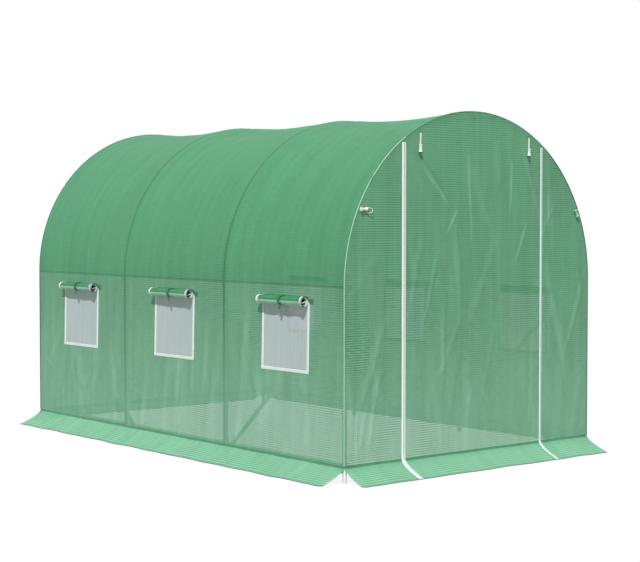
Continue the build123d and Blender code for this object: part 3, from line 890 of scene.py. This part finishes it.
def roll_section():
    """Turns, ways out and heights along a roll's cloth, from its top round to its end across the core."""
    turn = np.linspace(0, ROLL_TURNS, 80)[:, None]
    radius = roll_radius - TURN_SPACING * turn
    wound = np.concatenate([np.sin(math.tau * turn), np.cos(math.tau * turn)], axis=1) * radius
    share = np.linspace(0, 1, 12)[1:, None]
    bend = sum(math.comb(3, i) * share**i * (1 - share)**(3 - i) * np.array(corner)
               for i, corner in enumerate(CORE_SHARES))
    section = np.concatenate([wound, bend * radius[-1]])
    return np.concatenate([turn, ROLL_TURNS + share / 2]), section[:, :1], section[:, 1:]


def flap_grids(sign, number, middle):
    """Grids of a rolled flap and the dark patch of painted shade beside it: the flap leads out from the wall,
    then winds up.
    """
    draw = Random(100 + number + sign)
    half = roll_length / 2
    y = stations([-half, -half + BINDING_WIDTH, half - BINDING_WIDTH, half], ROLL_STEP)
    turn, out, height = roll_section()
    pinch = PINCH * np.exp(-(y / PINCH_WIDTH) ** 2)
    thin = UNEVEN * (1 + np.sin(y * UNEVEN_RATE + draw.uniform(0, 6)))
    swell = (1 - pinch - thin) * (1 + FLARE * smooth(-y, half - 3 * BINDING_WIDTH, half))
    slid = TELESCOPE * turn * math.copysign(1, draw.random() - 0.5) * np.sign(y)
    roll = np.stack(np.broadcast_arrays(sign * (roll_out + roll_radius * (swell - 1) + out * swell),
                                        middle + y + slid, roll_height + height * swell), axis=-1)
    lead_share = np.linspace(0, 1, 4)[:-1, None]
    wall = wall_out(middle + y, roll_height + roll_radius)
    lead = np.stack(np.broadcast_arrays(sign * (wall + OVER_WALL + lead_share * (roll_out - wall)),
                                        middle + y,
                                        roll_height + roll_radius * (1 + (swell - 1) * lead_share)), axis=-1)
    points = np.concatenate([lead, roll])
    way = way_along(points[:, len(y) // 4])
    flat = np.stack(np.broadcast_arrays(y, way[:, None]), axis=-1)
    bound = np.abs((y[1:] + y[:-1]) / 2) > half - BINDING_WIDTH
    wound = np.concatenate([np.full((len(lead), 1), -1.0), turn[1:]])
    # The hem band under the roll is painted pale, as painted light from the floor.
    hem = (wound > HEM_TURNS[0]) & (wound < HEM_TURNS[1])
    finish = np.where(bound, 1, np.where(hem, 2, 0))
    # The dark patch of painted shade on the wall beside the front end.
    shade_patch_y, shade_patch_z = np.meshgrid(middle - half - np.linspace(-SHADE_PATCH_LAP, SHADE_PATCH_LENGTH, 5),
                               roll_height + np.linspace(-0.5, 0.5, 3) * SHADE_PATCH_HEIGHT)
    shade_patch_flat = np.stack([shade_patch_y, shade_patch_z], axis=-1)
    shade_patch = (wall_place(sign, shade_patch_y, shade_patch_z, OVER_WALL), shade_patch_flat, 3, None)
    return [(points, flat, finish, None), shade_patch]


print(f"rolls {roll_length:.3f} m long and {2 * roll_radius / MM:.0f} mm thick")

# %% Straps round the rolls
STRAP_WIDTH, STRAP_THICKNESS, STRAP_GAP = 20 * MM, 1.6 * MM, 0.8 * MM
TAIL_LENGTH, TAIL_WIDTH, TAIL_GAP = 20 * MM, 16 * MM, 1 * MM
TAIL_PLACE = 0.35                            # how far out the loose tail hangs, in radii of the strap
TAIL_SWAY, TAIL_BEND = 6 * MM, 2.4           # the bend in radians


def strap_grids(sign, middle):
    """Grids of the strap over and under a roll, and of its loose tail."""
    radius = roll_radius + STRAP_GAP
    wall = float(wall_out(middle, roll_height)) + OVER_WALL
    arc = [(roll_out + math.sin(a) * radius, roll_height + math.cos(a) * radius)
           for a in np.linspace(0, math.pi, 15)]
    path = [(wall, roll_height + radius), *arc, (wall, roll_height - radius)]
    tail_out, tail_top = roll_out + TAIL_PLACE * radius, roll_height - radius - TAIL_GAP
    tail = [(tail_out + TAIL_SWAY * math.sin(TAIL_BEND * s), tail_top - TAIL_LENGTH * s)
            for s in np.linspace(0, 1, 8)]
    grids = []
    for run, width in ((path, STRAP_WIDTH), (tail, TAIL_WIDTH)):
        run = np.array([(sign * out, middle, z) for out, z in run])
        outward = sign * np.cross((0, 1, 0), ahead_along(run))
        grids.append(swept_strip(run, (0, 1, 0), outward, puffed(width, STRAP_THICKNESS)) + (0, None))
    return grids


for side, sign, number, middle in windows:
    name, grids = f"{side}_flap_{number}", flap_grids(sign, number, middle)
    make_piece(name, grids, [flap_cloth, binding, painted_light_edging, painted_shade_cloth],
                             [f"{side}_flap_rolls"])
    make_piece(f"{side}_roll_strap_{number}", strap_grids(sign, middle), [webbing],
               [f"{side}_roll_straps"])

# %% [markdown]
# ## Door zips
# A zip runs down each side of the door, over the bend of the skirt to its hem, so that the door can be
# rolled up. It is a white tape sewn over the seam with a nylon coil in its middle. The coil is drawn tooth
# by tooth, coarser than the real one.

# %% Zip tapes and coils
# Polyester zip tape: the whitest cloth on the tunnel, matt, with fine ribs.
zip_tape = woven_tape("white_polyester_zip_tape", "#fafffc", "#ecf7f0", 2.4 * MM)
ZIP_STEP, ZIP_THICKNESS = 40 * MM, 1.2 * MM
ZIP_SHOWN = {"left": 1.0, "right": 0.62}     # share of a zip's tape that its panels leave uncovered
ZIP_SHIFT = 5 * MM                           # both are sewn a little to the right of the seam
TOOTH_PITCH, TOOTH_WIDTH, TOOTH_HEIGHT = 4 * MM, 7 * MM, 2 * MM
TOOTH_LENGTH, TOOTH_TOP = 0.72 * TOOTH_PITCH, 0.6 * TOOTH_WIDTH
TOOTH_SINK, TOOTH_SWAY = 0.4 * MM, 0.8 * MM  # how far a tooth is set into the tape, and off its middle
TOOTH_SECTION = [(-TOOTH_WIDTH / 2, -TOOTH_SINK), (TOOTH_WIDTH / 2, -TOOTH_SINK),
                 (TOOTH_TOP / 2, TOOTH_HEIGHT), (-TOOTH_TOP / 2, TOOTH_HEIGHT)]
zip_low, zip_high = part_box("left_door_zip")


def moulded_plastic(name, colour, shade, cloud, roughness):
    """Solid plastic from a mould: one colour with faint clouds in it."""
    material, tree = empty_material(name)
    place = add_node(tree, "TexCoord").outputs["Object"]
    clouds = add_node(tree, "TexNoise", {"Vector": place, "Scale": 1 / cloud, "Detail": 3.0}).outputs["Fac"]
    mixed = add_node(tree, "Mix", {0: clouds, MIX_A: linear(shade), MIX_B: linear(colour)}, data_type="RGBA")
    plastic = add_node(tree, "BsdfPrincipled", {"Base Color": mixed.outputs[MIX_COLOUR],
                                                "Roughness": roughness})
    add_node(tree, "OutputMaterial", {"Surface": plastic})
    return material


def zip_path(top):
    """Way out, height and outward direction on the front, from a zip's top down over the skirt to its hem."""
    bend = np.stack(skirt_section(np.linspace(0, 1, 22)), axis=-1)
    z = stations([skirt_top, top], ZIP_STEP)[::-1]
    run = np.concatenate([np.stack([np.zeros_like(z), z], axis=-1), bend[1:]])
    ahead = ahead_along(run)
    return run, np.stack([np.zeros(len(run)), ahead[:, 1], ahead[:, 0]], axis=-1)


def zip_grids(side, sign):
    """Grids of a zip, its tape and then its teeth, and its length."""
    run, outward = zip_path(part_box(f"{side}_door_zip")[1].z)
    path = beside_wall(Y, -1, sign * zip_place + ZIP_SHIFT, run[:, 0], run[:, 1])
    width = ZIP_SHOWN[side] * (zip_high.x - zip_low.x)
    grids = [swept_strip(path, (1, 0, 0), outward, puffed(width, ZIP_THICKNESS)) + (0, None)]
    way = way_along(path)
    for count, start in enumerate(np.arange(2 * TOOTH_PITCH, way[-1] - TOOTH_PITCH, TOOTH_PITCH)):
        out = point_at(start, way, outward)
        base = point_at(start, way, path) + out * ZIP_THICKNESS + (TOOTH_SWAY * (-1) ** count, 0, 0)
        half = np.cross((1, 0, 0), out) * TOOTH_LENGTH / 2
        grids.append(swept_strip([base - half, base + half], (1, 0, 0), out, TOOTH_SECTION) + (1, None))
    return grids, way[-1]


# Moulded nylon: off-white, half gloss, greyer than the tape.
coil_plastic = moulded_plastic("moulded_nylon_zip_coil", "#cfd8d5", "#b4bfbd", 25 * MM, 0.38)
for side, sign in SIDES:
    grids, length = zip_grids(side, sign)
    make_piece(f"{side}_zip", grids, [zip_tape, coil_plastic], [f"{side}_door_zip"])
    print(f"{side} zip of {length:.2f} m")

# %% [markdown]
# ## Edge piping
# The seam between roof and end sheet is covered with a thin cord sewn into a folded strip of cloth, called
# piping. It follows the corner of the building from the skirt up, round the arch and down again. At the
# front it is painted pale up the sunny side as painted light, green over the top, and dark down the other
# side as painted shade. At the rear all of it is dark, as painted shade.

# %% Piping round both ends
PIPING_RADIUS, PIPING_SIDES, PIPING_INSET, PIPING_STEP = 3 * MM, 8, 1 * MM, 60 * MM
# Polyester piping in two greens: smooth folded cloth, half matt; the dark one is painted shade for the shaded
# side.
green_piping = woven_tape("green_polyester_piping", "#6fb08b", "#5f9f7a", 4 * MM, 0.5)
shaded_piping = woven_tape("polyester_piping_painted_shade", "#2f6449", "#234f39", 4 * MM, 0.5)
foot = stations([skirt_top, spring_height], PIPING_STEP)[:-1]
arch = [(-math.cos(a) * half_width, spring_height + math.sin(a) * half_width)
        for a in np.linspace(0, math.pi, 90)]
edge = [(-half_width, z) for z in foot] + arch + [(half_width, z) for z in foot[::-1]]
for name, sign, painted_lit_share, painted_shade_from in (("front", -1, 0.36, 0.64), ("rear", 1, 0, 0)):
    path = [(x, sign * (half_length - PIPING_INSET), z) for x, z in edge]
    ring, flat = tube_grid(path, PIPING_RADIUS, PIPING_SIDES)
    share = np.arange(len(ring) - 1)[:, None] / len(ring)
    finish = (share >= painted_lit_share).astype(int) + (share >= painted_shade_from)
    make_piece(f"{name}_edge_piping", [(ring, flat, finish, None)],
               [painted_light_edging, green_piping, shaded_piping])
print(f"piping round both ends, {len(edge)} points each")

# %% [markdown]
# ## Ties and toggles
# When the door is rolled up, tapes with plastic toggles hold it. Two hang beside the zips, each with a knot
# under its toggle, and two toggles sit at the edge of the arch. A toggle is turned like a cotton reel: wide
# at both ends with a waist that the tie slips into, so it is drawn as an outline spun round its middle.

# %% Shape of a toggle
TOGGLE_SIDES = 24
toggle_low, toggle_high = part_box("door_toggles")
toggle_radius = (toggle_high.y - toggle_low.y) / 2
toggle_y = (toggle_high.y + toggle_low.y) / 2
toggle_length = toggle_high.z - toggle_low.z
toggle_waist, toggle_bore, toggle_face = (share * toggle_radius for share in (0.64, 0.2, 0.75))


def toggle_grid(start, along, across):
    """Waisted reel with a bore, from the middle of its first end along its length."""
    start, along, across = (np.asarray(v, float) for v in (start, along, across))
    profile = [(toggle_bore, 0.0), (toggle_face, 0.0)]
    profile += [(toggle_waist + (toggle_radius - toggle_waist) * abs(2 * s - 1) ** 2.2, s * toggle_length)
                for s in np.linspace(0.03, 0.97, 17)]
    profile += [(toggle_face, toggle_length), (toggle_bore, toggle_length), (toggle_bore, 0.0)]
    profile = np.array(profile)
    turn = np.linspace(0, math.tau, TOGGLE_SIDES + 1)
    ring = np.cos(turn)[:, None] * across + np.sin(turn)[:, None] * np.cross(along, across)
    points = start + profile[:, None, :1] * ring + profile[:, None, 1:] * along
    return points, np.stack(np.broadcast_arrays(turn * toggle_radius, profile[:, 1:]), axis=-1)


# Moulded polyethylene: creamy white, half gloss, slightly waxy. The right edge toggle is the same toggle
# painted mint, as painted shade.
toggle_plastic = moulded_plastic("cream_polyethylene_toggle", "#f6f7ee", "#e4e8d8", 12 * MM, 0.35)
shaded_toggle_plastic = moulded_plastic("mint_polyethylene_toggle_painted_shade", "#a9d9bb", "#86c09d", 12 * MM, 0.35)
print(f"toggles {toggle_length / MM:.0f} mm long")

# %% Door ties
# Elastic tape: cream, matt, with coarse ribs.
tie_tape = woven_tape("cream_elastic_tie", "#f1f4e8", "#d8e0cf", 2.5 * MM)
TIE_WIDTH, TIE_THICKNESS = 12 * MM, 2 * MM
TIE_LEAN, TIE_STAND = 9 * MM, 5 * MM         # how far a door tie hangs aslant, and stands off at its end
TIE_OVERLAP = 6 * MM                         # how far it runs on into the toggle
KNOT_DROP, KNOT_RADIUS, KNOT_SIDES = 12 * MM, 9 * MM, 8  # of the knot under a toggle; its dark webbing also stands in for the shade under the toggle, as painted shade
tie_low, tie_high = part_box("door_ties")
tie_end = tie_low.z - TIE_OVERLAP
up = np.linspace(1, 0, 8)
tie_grids, toggle_grids = [], []
for _, sign in SIDES:
    x = sign * (tie_high.x - TIE_WIDTH / 2)
    path = np.stack([x + TIE_LEAN * (up + 0.5), tie_high.y - TIE_STAND * (1 - up),
                     tie_end + up * (tie_high.z - tie_end)], axis=-1)
    strip = swept_strip(path, (1, 0, 0), (0, -1, 0), puffed(TIE_WIDTH, TIE_THICKNESS))
    knot = [(x, toggle_y, toggle_low.z - drop * KNOT_DROP) for drop in (-0.3, 0.3, 1)]
    tie_grids += [strip + (0, None), tube_grid(knot, KNOT_RADIUS, KNOT_SIDES) + (1, None)]
    toggle_grids.append(toggle_grid((x, toggle_y, toggle_high.z), (0, 0, -1), (1, 0, 0)) + (0, None))
make_piece("door_tie_tapes", tie_grids, [tie_tape, webbing], ["door_ties"])
make_piece("door_tie_toggles", toggle_grids, [toggle_plastic], ["door_toggles"])
print(f"{len(toggle_grids)} door ties, {(tie_high.z - tie_end) / MM:.0f} mm long")

# %% Edge toggles and their loop
EDGE_RISE = 429 * MM                         # of the edge toggles over the spring line
RIGHT_INSET = 20 * MM                        # of the right one from the arch
LOOP_SIZE, LOOP_RADIUS, LOOP_SIDES = 20 * MM, 2.2 * MM, 8
LOOP_TURN = (-2.6, 2.0)                      # radians, from one end of the elastic loop to the other
edge_height = spring_height + EDGE_RISE
left_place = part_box("edge_toggles")[0].x
right_place = math.sqrt((half_width - RIGHT_INSET - toggle_radius) ** 2 - EDGE_RISE**2)
down_the_arch = Vector((EDGE_RISE, 0, -right_place)).normalized()
edge_grids = [toggle_grid((left_place, toggle_y, edge_height), (1, 0, 0), (0, 0, 1)) + (0, None),
              toggle_grid((right_place, toggle_y, edge_height), down_the_arch, (0, 1, 0)) + (1, None)]
make_piece("edge_tie_toggles", edge_grids, [toggle_plastic, shaded_toggle_plastic], ["edge_toggles"])
turn = np.linspace(*LOOP_TURN, 20)
loop_path = np.stack([left_place + toggle_length + LOOP_SIZE * (0.8 + np.cos(turn)),
                      toggle_y - 0.4 * LOOP_SIZE * np.cos(turn),
                      edge_height + LOOP_SIZE * (0.7 * np.sin(turn) - 0.35)], axis=-1)
loop_grid = tube_grid(loop_path, LOOP_RADIUS, LOOP_SIDES) + (0, None)
make_piece("edge_tie_loop", [loop_grid], [tie_tape])
print(f"{len(edge_grids)} edge toggles and a loop of {way_along(loop_path)[-1] / MM:.0f} mm of elastic")
